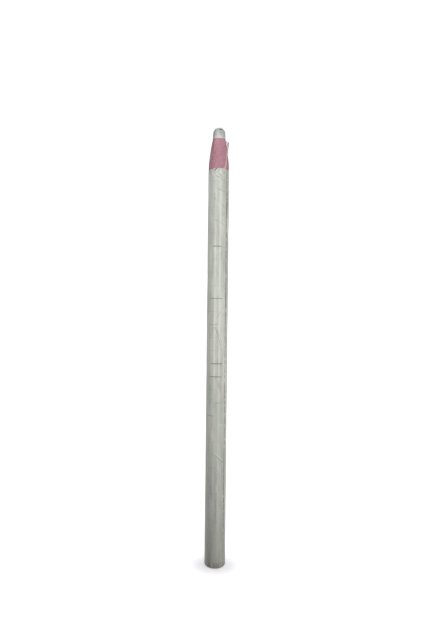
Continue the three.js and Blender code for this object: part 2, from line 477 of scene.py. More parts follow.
def wear_bare_end(core):
    """Rub the bare end uneven and pit it, always inwards."""
    pits = scattered_pits()
    for corner in core.verts:
        reach = corner.co.xy.length
        if corner.co.z < cone_top - wear_margin or reach < 1e-6:
            continue
        azimuth = azimuth_of(corner.co)
        up = max(corner.co.z - pencil_tip + dome_length, 0) / dome_length
        outward = Vector((corner.co.x / reach, corner.co.y / reach, up)).normalized()
        depth = core_wear * (noise.noise(corner.co / core_wear_size) - 0.2)
        depth += core_grit * noise.noise(corner.co / core_grit_size)
        for pit_azimuth, pit_height, pit_size, pit_depth in pits:
            across = arc_between(azimuth, pit_azimuth) * reach
            apart = (across ** 2 + (corner.co.z - pit_height) ** 2) / pit_size ** 2
            if apart < 6:
                depth -= pit_depth * exp(-apart)
        corner.co += outward * min(depth, 0)


def chip_bare_end(core):
    """Break the chips off the shoulder of the dome, each nearly flat."""
    for azimuth, drop, cut in core_chips:
        facing = radians(azimuth)
        normal = Vector((
            sin(facing) * cos(chip_tilt), -cos(facing) * cos(chip_tilt), sin(chip_tilt),
        ))
        shoulder = max(
            corner.co.dot(normal) for corner in core.verts
            if abs(pencil_tip - drop - corner.co.z) < 0.5 * mm
        )
        for corner in core.verts:
            over = corner.co.dot(normal) - (shoulder - cut)
            if over > 0 and corner.co.z > cone_top + 0.8 * mm:
                rough = 0.12 * noise.noise(corner.co / (0.25 * mm))
                corner.co -= normal * over * (0.9 + rough)


core = turned(core_outline(), core_steps)
wear_bare_end(core)
chip_bare_end(core)
marking_core = finished_piece("marking_core", core, marking_wax_finish())
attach(marking_core, "root")
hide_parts("wax_core")


# The winding: pink paper rolled round the core in about fifteen turns, and cut into rings by the slits.
# The sharpener sands the top two rings to a cone, where the edges of the turns show as fine lines.
turn_thickness = 0.1 * mm
wrapper_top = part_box("white_wrapper")[1][2]
barrel_radius = half_width("white_wrapper")
ring_radius = half_width("paper_ring_04")
ring_bore = core_radius + 0.03 * mm
ring_steps = 150
cone_base_radius = half_width("paper_ring_02")
cone_swell = 0.24 * mm
cone_rows = 64
lip_height = 1.05 * mm
lip_wall = 0.1 * mm
lip_rows = 6
ring_end_rows = 12
foot_press = 0.56 * mm

thread_azimuth = radians(36)
thread_radius = 0.21 * mm
thread_floor = ring_radius - 2 * thread_radius - 0.07 * mm
thread_half_angle = 0.42 * mm / ring_radius
channel_reach = 1.3
channel_edge = 14

pink_tones = ((0.30, (0.385, 0.178, 0.232)), (0.5, (0.455, 0.230, 0.282)), (0.72, (0.54, 0.318, 0.364)))
turn_edge_tone = (0.36, 0.14, 0.175)
worn_pink = (0.63, 0.37, 0.40)
lip_tone = (0.60, 0.555, 0.56)
lip_edge_tone = (0.34, 0.19, 0.20)
# The winding under the wrapper, painted near black as the shade seen down the slits.
under_wrapper_shade_tone = (0.085, 0.08, 0.07)


def pink_paper_finish():
    pink = Finish("wound_pink_paper", (0.53, 0.245, 0.285), 0.86)
    fibre = pink.grain((3000, 3000, 1200), 4, 0.6)
    pink.tone = pink.ramp(fibre, pink_tones)

    # Each turn's edge is a fine line, worked out from the distance to the axis, and drifts a little.
    x, y, height = pink.node("SeparateXYZ", pink.place).outputs
    reach = pink.maths("SQRT", pink.plus(pink.times(x, x), pink.times(y, y)))
    angle = pink.maths("ARCTAN2", y, x)
    turns = pink.plus(pink.maths("DIVIDE", reach, turn_thickness), pink.maths("DIVIDE", angle, tau))
    drift = pink.times(pink.grain((260, 260, 700), 3), 1.5)
    across = pink.maths("FRACT", pink.plus(turns, drift))
    pink.paint(pink.share(across, (0.0, 0.62), (0.09, 0.14), (0.3, 0), (1.0, 0)), turn_edge_tone)
    patch = pink.grain((240, 240, 190), 2, offset=(3, 1, 7))
    pink.paint(pink.share(patch, (0.45, 0), (0.7, 0.35)), worn_pink)

    lip_start = cone_top - lip_height
    pink.paint(pink.maths("GREATER_THAN", height, lip_start), lip_tone)
    lip_edge = pink.near(height, lip_start - 0.12 * mm, 0.1 * mm, 0.12 * mm)
    pink.paint(pink.times(lip_edge, 0.6), lip_edge_tone)
    # Under the wrapper the winding is painted near black, as painted shade down the slits.
    under_wrapper_shade = pink.near(height, wrapper_top / 2, wrapper_top / 2 - 0.5 * mm, 0.2 * mm)
    pink.paint(under_wrapper_shade, under_wrapper_shade_tone)

    pink.set("Specular IOR Level", 0.15)
    pink.bump(across, 0.015 * mm, 0.8)
    pink.bump(fibre, 0.05 * mm, 0.8)
    return pink.done()


def cone_radius(z):
    share = (z - wrapper_top) / (cone_top - lip_height - wrapper_top)
    top_radius = ring_bore + lip_wall
    return cone_base_radius + (top_radius - cone_base_radius) * share + 4 * cone_swell * share * (1 - share)


def move_out(corner, reach):
    """Set how far a corner lies from the pencil's axis."""
    share = reach / corner.co.xy.length
    corner.co.x *= share
    corner.co.y *= share


def in_channel(reach, azimuth):
    """The reach of a corner, with the thread's channel pressed into the winding."""
    aside = abs(arc_between(azimuth, thread_azimuth)) / thread_half_angle
    if aside >= channel_reach:
        return reach
    press = 1 / (1 + exp((aside - 1) * channel_edge))
    return min(reach, thread_floor * press + reach * (1 - press))


def ring_piece(name, shape, body, node):
    """A ring of the winding as a piece that rides on its body in place of its solid."""
    piece = finished_piece(name, shape, pink_paper)
    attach(piece, body)
    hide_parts(node)


def cut_cone_ring(node, lip):
    """One sanded ring of the winding, with the thread's channel down its side."""
    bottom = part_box(node)[0][2]
    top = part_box(node)[1][2]
    slope_end = top - lip_height if lip else top
    outline = [(ring_bore, top), (ring_bore, bottom)]
    for row in range(cone_rows + 1):
        z = bottom + (slope_end - bottom) * row / cone_rows
        outline.append((cone_radius(z), z))
    if lip:
        for row in range(1, lip_rows + 1):
            share = row / lip_rows
            outline.append((ring_bore + lip_wall * (1 - 0.25 * share ** 2), slope_end + lip_height * share))
    shape = turned(outline, ring_steps, closed=True)
    for corner in shape.verts:
        reach = corner.co.xy.length
        if reach < ring_bore + 0.02 * mm:
            continue
        azimuth = azimuth_of(corner.co)
        flat_place = Vector((corner.co.x, corner.co.y, corner.co.z * 3))
        wobble = 0.03 * mm * noise.noise(corner.co / (2.2 * mm))
        wobble += 0.014 * mm * noise.noise(flat_place / (0.6 * mm))
        turns = reach / turn_thickness - azimuth / tau + 0.8 * noise.noise(corner.co / (3 * mm))
        wobble += 0.02 * mm * (turns % 1 - 0.5)
        on_cone = reach > ring_bore + lip_wall
        move_out(corner, in_channel(reach + (min(wobble, 0) if on_cone else 0.3 * wobble), azimuth))
    return shape


def cut_covered_ring(node, pressed):
    """A whole ring of the barrel. The lowest has a pressed-in rim."""
    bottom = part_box(node)[0][2]
    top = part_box(node)[1][2]
    shares = [row / ring_end_rows for row in range(ring_end_rows + 1)]
    outline = [(ring_bore + (ring_radius - ring_bore) * share, top) for share in shares]
    if pressed:
        for inset, height in ((0.0, 1.1 * mm), (0.04 * mm, 0.8 * mm), (0.22 * mm, 0.35 * mm)):
            outline.append((ring_radius - inset, height))
    end_wall = ring_radius - pressed - ring_bore
    outline += [(ring_bore + end_wall * share, bottom) for share in reversed(shares)]
    shape = turned(outline, ring_steps, closed=True)
    for corner in shape.verts:
        azimuth = azimuth_of(corner.co)
        turns = corner.co.xy.length / turn_thickness - azimuth / tau
        inward = 1 if corner.co.z < (bottom + top) / 2 else -1
        corner.co.z += inward * 0.02 * mm * (0.5 + 0.5 * noise.noise(Vector((turns, azimuth * 2, 0))))
        move_out(corner, in_channel(corner.co.xy.length, azimuth))
    return shape


ring_nodes = sorted(name for name in frame["nodes"] if name.startswith("paper_ring_"))
top_covered_ring = ring_nodes[2]
bottom_ring = ring_nodes[-1]
pink_paper = pink_paper_finish()
ring_piece("upper_cone_paper", cut_cone_ring("paper_ring_01", True), "upper_cone_ring", "paper_ring_01")
ring_piece("lower_cone_paper", cut_cone_ring("paper_ring_02", False), "lower_cone_ring", "paper_ring_02")
ring_piece("top_covered_paper", cut_covered_ring(top_covered_ring, 0), "root", top_covered_ring)
ring_piece("bottom_covered_paper", cut_covered_ring(bottom_ring, foot_press), "root", bottom_ring)
for node_name in ring_nodes[3:-1]:
    inner_ring = frame["nodes"][node_name]
    inner_ring.data.materials.clear()
    inner_ring.data.materials.append(pink_paper)


# The wrapper: one sheet of thin white coated paper rolled once round the winding and lapped at a seam.
# Knife slits cross it at every ring, two to a turn, and only some gape. Handling has creased and dented it,
# and the saw that cut the pencil to length has pressed its lower rim inwards.
sheet_thickness = 0.09 * mm
ring_pitch = 5 * mm
seam_azimuth = radians(52)
lap_angle = radians(15)
sheet_sweep = tau + lap_angle
turn_columns = 144
sheet_columns = round(turn_columns * sheet_sweep / tau)
lap_rise = 0.55 * sheet_thickness
lap_tuck = 0.75 * sheet_thickness
lap_edge_lift = 0.012 * mm
lap_edge_waver = 0.10 * mm
end_rounding = 1.2 * mm
end_turn = radians(60)

# The top edge waves within its last millimetre, and the rim of the cut end is crushed and nicked.
top_wave_height = 1.0 * mm
top_wave = 0.13 * mm
top_drop = 0.06 * mm
top_side_dip = 0.40 * mm
top_tuck = 0.05 * mm
rim_height = 1.3 * mm
rim_crush = 0.09 * mm
rim_nick = 0.16 * mm

# The sheet lies a little inside the solid's face, so that its bends stay inside it too.
sheet_ease = 0.035 * mm
slow_bend = 0.016 * mm
flute_depth = 0.030 * mm
ripple_depth = 0.010 * mm
flute_ridge_height = 0.016 * mm
flute_ridge_reach = 0.4 * mm
thread_ridge_height = 0.022 * mm
thread_ridge_reach = 0.3 * mm

slit_half = 0.05 * mm
slit_start = radians(-12)
slit_drift = radians(-0.8)
slit_jitter = radians(9)
slit_jitter_rate = 2.4
slit_reach = 0.5 * mm
shut_slit_dip = 0.02 * mm
# How strongly shade is painted along the edges of each kind of slit.
painted_slit_shade = {"open": 0.62, "hairline": 0.45, "shut": 0.10}
slit_gape = {"open": 0.022 * mm, "hairline": -0.025 * mm, "shut": -0.05 * mm}
back_slit_states = ("open", "open", "hairline", "shut", "shut")

# The front's slits that show, by row, as (state, azimuth in degrees, arc in degrees).
front_slits = {
    5: ("open", -6, 54),
    9: ("open", -5, 70),
    11: ("hairline", -20, 50),
    14: ("open", -1, 70),
    15: ("open", -11, 78),
    17: ("hairline", 7, 30),
    18: ("hairline", -38, 50),
}
band_rows = (0.05, 0.3, 0.9, 1.7)
rim_rows = (0, 0.12, 0.28, 0.48, 0.72, 1.04, 1.6)
top_rows = (1.6, 0.9, 0.45, 0.2, 0.0)
wrapper_seed = 23

slit_heights = []
slit_height = wrapper_top - ring_pitch
while slit_height > 0.2 * mm:
    slit_heights.append(slit_height)
    slit_height -= ring_pitch

dice = random.Random(wrapper_seed)
slits_of_row = {row: [] for row in range(len(slit_heights))}
for row, slit_height in enumerate(slit_heights):
    jitter = slit_jitter * sin(slit_jitter_rate * row)
    for half_turn in (0, pi):
        state = dice.choice(back_slit_states)
        middle = slit_start + slit_drift * row + jitter + half_turn
        arc = radians(dice.uniform(72, 100))
        if half_turn == 0 and row in front_slits:
            state, middle, arc = front_slits[row]
            middle = radians(middle)
            arc = radians(arc)
        elif half_turn == 0:
            state = "shut"
            arc = radians(60)
        slits_of_row[row].append({
            "z": slit_height,
            "azimuth": middle,
            "arc": arc,
            "state": state,
            "lift_above": dice.uniform(0.0, 0.04) * mm,
            "lift_below": dice.uniform(0.0, 0.03) * mm,
        })

# Dents as (azimuth, height, width, length, depth): first short knocks, then long finger dents.
dents = []
for count, lowest, widths, lengths, depths in (
    (24, 4, (0.5, 1.2), (0.8, 3.0), (0.015, 0.045)),
    (26, 12, (0.6, 1.1), (4, 9), (0.02, 0.05)),
):
    for _ in range(count):
        dents.append((
            dice.uniform(-pi, pi), dice.uniform(lowest, 150) * mm,
            dice.uniform(*widths) * mm, dice.uniform(*lengths) * mm, dice.uniform(*depths) * mm,
        ))

# The turns' edges under the sheet stand up as long flutes at these azimuths, in degrees, and pale highlights
# are painted down them.
painted_highlight_flutes = (-157, -118, -83, -15, 11, 97, 136, 170)

# Creases as (azimuth, height, slope, half length, depth), with a long V on the front.
crease_half_width = 0.16 * mm
creases = [
    (radians(-8), 91 * mm, 0.16, 5.0 * mm, 0.045 * mm),
    (radians(14), 91 * mm, -0.14, 5.5 * mm, 0.045 * mm),
    (radians(22), 120.5 * mm, 0.32, 1.7 * mm, 0.06 * mm),
    (radians(13), 132.6 * mm, -1.9, 0.9 * mm, 0.05 * mm),
    (radians(27), 145.0 * mm, -2.4, 0.6 * mm, 0.04 * mm),
    (radians(32), 138.5 * mm, -1.5, 0.9 * mm, 0.04 * mm),
]
for _ in range(11):
    creases.append((
        dice.uniform(-pi, pi), dice.uniform(8, 148) * mm,
        dice.uniform(-1.2, 1.2), dice.uniform(1.5, 3.5) * mm, dice.uniform(0.02, 0.045) * mm,
    ))

# Fine crease lines painted dark as their shade, as (azimuth in degrees, height in mm) of both ends.
crease_shade_lines = (
    ((-15, 92.5), (-38, 89.4)),
    ((-15, 92.5), (-9, 92.3)),
    ((-9, 92.3), (27, 83.5)),
    ((-3, 91.2), (36, 85.8)),
    ((-13, 133.6), (38, 131.7)),
    ((-3, 145.5), (35, 144.5)),
    ((20, 139.4), (45, 138.2)),
    ((23, 122.2), (14, 119.5)),
    ((-17, 150.7), (34, 148.7)),
    ((-10, 152.0), (24, 150.2)),
    ((-4, 96.1), (18, 98.6)),
    ((5, 80.4), (2, 78.0)),
    ((0, 72.0), (20, 68.0)),
    ((8, 71.5), (24, 69.0)),
    ((-21, 142.3), (-19, 141.2)),
    ((-4, 119.9), (5, 121.0)),
    ((-8, 43.7), (40, 40.8)),
    ((9, 36.5), (2, 34.0)),
    ((2, 27.0), (0, 17.8)),
)

# Pale lines painted as highlights along folds, in the same form.
fold_highlight_lines = (
    ((-15, 145.2), (-8, 142.0)),
    ((11, 144.8), (13, 142.0)),
    ((-6, 140.2), (20, 138.6)),
    ((-2, 139.3), (14, 137.9)),
    ((-4, 151.8), (10, 148.9)),
    ((8, 152.6), (19, 149.3)),
    ((16, 152.0), (30, 149.6)),
    ((19, 55.6), (31, 54.6)),
    ((-4, 44.2), (36, 41.7)),
    ((4, 31.5), (2, 29.5)),
)

# Two slanted layers of short pale and dark strokes paint the highlights and shade of a crumple on the sheet's
# top, as (slant, offset of the pattern).
crumple_shading_strokes = ((radians(12), (1, 7, 2)), (radians(-38), (6, 2, 5)))

sheet_tones = ((0.3, (0.474, 0.490, 0.428)), (0.5, (0.488, 0.505, 0.442)), (0.7, (0.502, 0.519, 0.458)))
streak_tone = (0.42, 0.42, 0.36)
rubbed_tone = (0.60, 0.605, 0.56)
dull_tone = (0.40, 0.404, 0.355)
grime_tone = (0.35, 0.345, 0.285)
# Painted highlight down the flutes.
flute_highlight_tone = (0.66, 0.672, 0.615)
# Painted shade along the slits.
slit_shade_tone = (0.14, 0.15, 0.12)
# Painted highlight and painted shade of the crumple's strokes.
stroke_highlight_tone = (0.65, 0.69, 0.625)
stroke_shade_tone = (0.33, 0.335, 0.30)
# Painted highlight along folds.
fold_highlight_tone = (0.68, 0.715, 0.65)
# Painted shade in the creases.
crease_shade_tone = (0.27, 0.27, 0.235)
seam_strip_tone = (0.61, 0.60, 0.54)
# Painted shadow under the lap's edge.
seam_shadow_tone = (0.13, 0.145, 0.105)
# Painted shade of the tear.
tear_shade_tone = (0.09, 0.085, 0.075)
# Darker and more olive towards the bottom.
lower_darkening_tone = (0.37, 0.365, 0.27)
tick_tone = (0.26, 0.245, 0.18)
cut_edge_tone = (0.20, 0.17, 0.13)


def coated_ground(sheet, streak):
    """The coating's uneven tone, with long streaks, pale and dull rubs, and grime."""
    sheet.tone = sheet.ramp(sheet.grain((130, 130, 34), 4, 0.55), sheet_tones)
    sheet.paint(sheet.share(streak, (0.5, 0), (0.72, 0.5)), streak_tone)
    rub = sheet.grain((620, 620, 95), 3, 0.55, (2, 6, 3))
    sheet.paint(sheet.share(rub, (0.50, 0), (0.66, 0.6)), rubbed_tone)
    sheet.paint(sheet.share(rub, (0.34, 0.6), (0.47, 0)), dull_tone)
    grime = sheet.grain((420, 420, 260), 5, 0.66, (5, 2, 9))
    sheet.paint(sheet.share(grime, (0.56, 0), (0.74, 0.42)), grime_tone)


def paint_flute_highlights(sheet, across, height):
    """Pale highlights are painted down the flutes of the tube, and most of all on its upper half."""
    sway = sheet.times(sheet.grain((0, 0, 110), 3, 0.6, (7, 7, 7)), 0.9 * mm)
    swayed = sheet.plus(across, sheet.minus(sway, 0.45 * mm))
    flutes = [radians(flute) * barrel_radius for flute in painted_highlight_flutes]
    flute_highlight = sheet.largest([sheet.near(swayed, flute, 0.1 * mm, 0.42 * mm) for flute in flutes])
    patches = sheet.share(sheet.grain((260, 260, 120), 3, 0.6, (3, 8, 1)), (0.36, 0.40), (0.58, 0.70))
    upper = sheet.near(height, wrapper_top, 70 * mm, 25 * mm)
    fading = sheet.plus(sheet.times(upper, 0.55), 0.45)
    sheet.paint(sheet.times(sheet.times(flute_highlight, patches), fading), flute_highlight_tone)


def line_share(sheet, place, first, last):
    """1 on the straight crease between two (azimuth, height) points of the sheet, and 0 off it."""
    start = Vector((radians(first[0]) * barrel_radius, first[1] * mm, 0))
    run = Vector((radians(last[0]) * barrel_radius, last[1] * mm, 0)) - start
    away = sheet.vectors("SUBTRACT", place, start).outputs["Vector"]
    along = sheet.vectors("DOT_PRODUCT", away, run / run.length_squared).outputs["Value"]
    nearest = sheet.vectors("SCALE", run)
    sheet.feed(nearest.inputs["Scale"], sheet.node("Clamp", along).outputs["Result"])
    apart = sheet.vectors("DISTANCE", away, nearest.outputs["Vector"]).outputs["Value"]
    return sheet.near(apart, 0, 0.05 * mm, 0.17 * mm)


def paint_shade_and_highlights(sheet, across, height, top_share):
    """Shade is painted along the slits' edges, pale and dark strokes paint a crumple's highlights and shade
    near the top, and lines paint highlights on folds and shade in creases.
    """
    # Shade painted along the slits' edges, more where they gape.
    slit_shade = sheet.node("Attribute")
    slit_shade.attribute_name = "painted_slit_shade"
    sheet.paint(slit_shade.outputs["Fac"], slit_shade_tone)
    for slant, offset in crumple_shading_strokes:
        strokes = sheet.grain((2300, 2300, 420), 2, 0.5, offset, slant)
        pale = sheet.share(strokes, (0.53, 0), (0.64, 0.55))
        dark = sheet.share(strokes, (0.36, 0.45), (0.46, 0))
        sheet.paint(sheet.times(pale, top_share), stroke_highlight_tone)
        sheet.paint(sheet.times(dark, top_share), stroke_shade_tone)
    place = sheet.node("CombineXYZ", across, height).outputs[0]
    fold_highlights = sheet.largest([line_share(sheet, place, *ends) for ends in fold_highlight_lines])
    sheet.paint(sheet.times(fold_highlights, 0.6), fold_highlight_tone)
    # Dark lines painted as the shade in creases.
    creased = sheet.largest([line_share(sheet, place, *ends) for ends in crease_shade_lines])
    broken = sheet.share(sheet.grain((900, 900, 900), 2), (0.38, 0.2), (0.56, 0.68))
    sheet.paint(sheet.times(creased, broken), crease_shade_tone)


def seam_marks(sheet, across):
    """A paler strip lies beside the seam, and the lap's edge lifts, with its shadow painted under it in short
    dark dashes.
    """
    seam = seam_azimuth * barrel_radius
    # A paler strip beside the seam.
    strip = sheet.near(across, seam + 0.75 * mm, 0.5 * mm, 0.25 * mm)
    sheet.paint(sheet.times(strip, 0.6), seam_strip_tone)
    dashes = sheet.share(sheet.grain((0, 0, 520), 3, 0.6), (0.43, 0), (0.48, 0.85), (0.6, 1))
    dash_shade = sheet.plus(sheet.times(dashes, 0.78), 0.14)
    line = sheet.near(across, seam - 0.12 * mm, 0.2 * mm, 0.14 * mm)
    sheet.paint(sheet.times(line, dash_shade), seam_shadow_tone)


def end_marks(sheet, across, height):
    """A short slanted tear just under the top edge, painted as a dark slash of shade, the barrel darker and
    more olive towards the bottom, and the soiled rim of the cut end.
    """
    tear_middle = wrapper_top - 0.5 * mm
    leaning = sheet.minus(across, sheet.times(sheet.minus(height, tear_middle), 0.75))
    tear = sheet.near(leaning, radians(-16.5) * barrel_radius, 0.2 * mm, 0.12 * mm)
    tear = sheet.times(tear, sheet.near(height, tear_middle, 0.42 * mm, 0.2 * mm))
    sheet.paint(sheet.times(tear, 0.9), tear_shade_tone)
    # Darker and more olive towards the bottom.
    sheet.paint(sheet.times(sheet.near(height, 0, 2 * mm, 24 * mm), 0.4), lower_darkening_tone)
    ticks = sheet.share(sheet.grain((1900, 1900, 160), 2, 0.5, (4, 4, 4)), (0.42, 0.10), (0.60, 0.75))
    sheet.paint(sheet.times(sheet.near(height, 0, 0.9 * mm, 2.6 * mm), ticks), tick_tone)
    sheet.paint(sheet.times(sheet.near(height, 0, 0.03 * mm, 0.16 * mm), 0.6), cut_edge_tone)


def coated_relief(sheet, streak, top_share):
    """Fine grain and streaks, under crumpled facets that are faint but for the top few millimetres."""
    sheet.bump(sheet.grain((1100, 1100, 700), 4, 0.6), 0.02 * mm, 0.5)
    sheet.bump(streak, 0.01 * mm, 0.5)
    stretch = sheet.node("Mapping", sheet.place)
    stretch.inputs["Scale"].default_value = (1, 1, 0.62)
    folds = sheet.node("TexVoronoi", stretch.outputs["Vector"])
    folds.inputs["Scale"].default_value = 620
    patch = sheet.share(sheet.grain((150, 150, 60), 2, 0.5, (8, 3, 1)), (0.5, 0), (0.62, 0.30))
    facets = sheet.times(folds.outputs["Distance"], sheet.largest([top_share, patch]))
    sheet.bump(facets, 0.12 * mm)
    glaze = sheet.node("Bump")
    glaze.inputs["Distance"].default_value = 0.09 * mm
    sheet.feed(glaze.inputs["Height"], facets)
    sheet.set("Coat Normal", glaze.outputs[0])


def white_wrapper_finish():
    sheet = Finish("white_coated_paper", (0.50, 0.505, 0.45), 0.4)
    x, y, height = sheet.node("SeparateXYZ", sheet.place).outputs
    across = sheet.times(sheet.maths("ARCTAN2", x, sheet.times(y, -1)), barrel_radius)
    streak = sheet.grain((1500, 1500, 45), 4, 0.6)
    top_share = sheet.near(height, wrapper_top, 2.2 * mm, 5 * mm)
    coated_ground(sheet, streak)
    paint_flute_highlights(sheet, across, height)
    paint_shade_and_highlights(sheet, across, height, top_share)
    seam_marks(sheet, across)
    end_marks(sheet, across, height)
    coated_relief(sheet, streak, top_share)
    sheet.set("Roughness", sheet.share(streak, (0.35, 0.34), (0.7, 0.50)))
    sheet.set("Specular IOR Level", 0.2)
    sheet.set("Coat Weight", 0.85)
    sheet.set("Coat Roughness", 0.16)
    return sheet.done()


def rim_inset(z):
    """How far the rounded rim of the cut end lies inside the barrel's face."""
    rise = end_rounding * sin(end_turn)
    if z >= rise:
        return 0.0
    return end_rounding - sqrt(end_rounding ** 2 - (rise - z) ** 2)


def ridge(azimuth, middle, reach):
    """1 along a ridge that runs down the barrel, and down to 0 away from it."""
    return exp(-(arc_between(azimuth, middle) * barrel_radius / reach) ** 2)


def round_noise(azimuth, turns, along):
    """Noise that closes on itself round the barrel, with a place along it."""
    return noise.noise(Vector((cos(azimuth) * turns, sin(azimuth) * turns, along)))


def wrapper_radius(azimuth, z):
    """The outer face of the sheet, with its dents, its creases and the ridge of the thread under it."""
    around = Vector((cos(azimuth), sin(azimuth), z / (14 * mm)))
    radius = barrel_radius - sheet_ease
    radius += slow_bend * noise.noise(around * 1.7)
    radius += flute_depth * round_noise(azimuth, 3.2, z / (7 * mm))
    radius += ripple_depth * round_noise(azimuth, 8, z / (3 * mm) + 5)
    for flute in painted_highlight_flutes:
        radius += flute_ridge_height * ridge(azimuth, radians(flute), flute_ridge_reach)
    radius += thread_ridge_height * ridge(azimuth, thread_azimuth, thread_ridge_reach)
    for dent_azimuth, dent_z, wide, tall, deep in dents:
        across = arc_between(azimuth, dent_azimuth) * barrel_radius / wide
        apart = across ** 2 + ((z - dent_z) / tall) ** 2
        if apart < 6:
            radius -= deep * exp(-apart)
    for crease_azimuth, crease_z, slope, half_length, deep in creases:
        across = arc_between(azimuth, crease_azimuth) * barrel_radius
        along = z - crease_z
        size = sqrt(1 + slope ** 2)
        off = (across - along * slope) / size / crease_half_width
        run = (along + across * slope) / size / half_length
        if abs(off) < 3 and abs(run) < 2:
            radius -= deep * exp(-off ** 2 - run ** 4)
    return radius


def slit_share(azimuth, slit):
    """0 at the ends of a slit and outside it, 1 in its middle."""
    share = abs(arc_between(azimuth, slit["azimuth"])) / (slit["arc"] / 2)
    return sqrt(1 - share ** 2) if share < 1 else 0.0


def beside_slits(azimuth, z, slit_row, side):
    """How far the sheet lifts and gapes beside the slits of a row, and how much shade is painted there."""
    lift = gape = slit_shade = 0.0
    for slit in slits_of_row.get(slit_row, ()):
        share = slit_share(azimuth, slit)
        if share <= 0:
            continue
        state = slit["state"]
        away = abs(z - slit["z"]) / slit_reach
        raised = slit["lift_above"] if z > slit["z"] else slit["lift_below"]
        if state == "shut":
            raised = -shut_slit_dip
            away *= 2.5
        lift += raised * share * exp(-away ** 2)
        if side:
            slit_shade = painted_slit_shade[state] * sqrt(share)
        if side and state != "shut":
            gape = side * (slit_gape[state] * share - 0.8 * slit_half * (1 - share))
    return lift, gape, slit_shade


def lapped(radius, travelled):
    """The sheet rides up over its own end, which is tucked in under it."""
    rise = min(max((lap_angle * 1.5 - travelled) / (lap_angle * 0.5), 0), 1)
    radius += lap_rise * rise
    if sheet_sweep - travelled < lap_angle * 1.2:
        radius -= lap_tuck
    return radius


def worn_ends(azimuth, radius, z):
    """The top edge waves and turns in a little, and the lower rim is crushed and nicked."""
    top_share = max(z - (wrapper_top - top_wave_height), 0) / top_wave_height
    z += top_share * (top_wave * round_noise(azimuth, 2.6, 4) - top_drop - top_side_dip * sin(azimuth) ** 2)
    radius -= top_tuck * top_share ** 3
    rim_share = max(1 - z / rim_height, 0)
    radius -= rim_crush * rim_share * max(round_noise(azimuth, 9, z / (1.5 * mm)), 0)
    z += rim_nick * max(round_noise(azimuth, 14, 2), 0) * rim_share ** 3
    return radius, z


def wrapper_rows():
    """Heights of the sheet's rows of corners, each with its slit's row and its side of the slit."""
    rows = [(height * mm, None, 0) for height in rim_rows]
    for row, z in reversed(list(enumerate(slit_heights))):
        for side in (-1, 1):
            for step in (reversed(band_rows) if side < 0 else band_rows):
                height = z + side * step * mm
                if height > rows[-1][0] + 0.01 * mm:
                    rows.append((height, row, side if step == band_rows[0] else 0))
        rows.append((z + ring_pitch / 2, None, 0))
    rows += [(wrapper_top - below * mm, None, 0) for below in top_rows]
    return [row for row in rows if row[0] <= wrapper_top]


def rolled_sheet(rows):
    """The sheet spun from its outer edge once round and under itself, with each corner's row and column."""
    shape = bmesh.new()
    row_layer = shape.verts.layers.int.new("row")
    column_layer = shape.verts.layers.int.new("column")
    # A layer for the shade painted along the slits.
    shape.verts.layers.float.new("painted_slit_shade")
    start = Vector((barrel_radius * sin(seam_azimuth), -barrel_radius * cos(seam_azimuth), 0))
    corners = [shape.verts.new(start + Vector((0, 0, z))) for z, _, _ in rows]
    edge = corners + [shape.edges.new(pair) for pair in zip(corners, corners[1:])]
    for index, corner in enumerate(corners):
        corner[row_layer] = index
    for column in range(1, sheet_columns + 1):
        edge = bmesh.ops.spin(
            shape, geom=edge, cent=(0, 0, 0), axis=(0, 0, 1),
            angle=-sheet_sweep / sheet_columns, steps=1, use_merge=False, use_duplicate=False,
        )["geom_last"]
        for corner in made_by(edge, bmesh.types.BMVert):
            corner[column_layer] = column
    return shape


def open_slits(shape, rows):
    """Cut the faces out that lie between the two sides of a slit that gapes."""
    row_layer = shape.verts.layers.int["row"]
    opened = []
    for face in shape.faces:
        places = {rows[corner[row_layer]][1:] for corner in face.verts}
        if {side for _, side in places} != {-1, 1}:
            continue
        azimuth = azimuth_of(face.calc_center_median())
        beside = slits_of_row[next(iter(places))[0]]
        if any(slit["state"] != "shut" and slit_share(azimuth, slit) > 0 for slit in beside):
            opened.append(face)
    bmesh.ops.delete(shape, geom=opened, context="FACES")


def wrapper_shape():
    rows = wrapper_rows()
    shape = rolled_sheet(rows)
    row_layer = shape.verts.layers.int["row"]
    column_layer = shape.verts.layers.int["column"]
    slit_shade_layer = shape.verts.layers.float["painted_slit_shade"]
    for corner in shape.verts:
        _, slit_row, side = rows[corner[row_layer]]
        travelled = sheet_sweep * corner[column_layer] / sheet_columns
        azimuth = seam_azimuth - travelled
        z = corner.co.z
        lift, gape, corner[slit_shade_layer] = beside_slits(azimuth, z, slit_row, side)
        radius = lapped(wrapper_radius(azimuth, z) + lift - rim_inset(z), travelled)
        if corner[column_layer] == 0:
            uneven = 0.10 + 0.9 * noise.noise(Vector((0, 1, z / (2.6 * mm))))
            azimuth += uneven * lap_edge_waver / barrel_radius
            radius += lap_edge_lift
        radius, z = worn_ends(azimuth, radius, z)
        # The back of the sheet stays inside the solid's box.
        back = min(-radius * cos(azimuth), barrel_radius)
        corner.co = (radius * sin(azimuth), back, z + gape)
    open_slits(shape, rows)
    bmesh.ops.recalc_face_normals(shape, faces=shape.faces)
    outward = sum(face.normal.dot(Vector((*face.calc_center_median().xy, 0))) for face in shape.faces)
    if outward < 0:
        bmesh.ops.reverse_faces(shape, faces=shape.faces)
    return shape


wrapper_sheet = finished_piece("wrapper_sheet", wrapper_shape(), white_wrapper_finish())
paper = wrapper_sheet.modifiers.new("sheet_thickness", "SOLIDIFY")
paper.thickness = sheet_thickness
paper.offset = -1
paper.use_even_offset = False
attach(wrapper_sheet, "root")
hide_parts("white_wrapper")


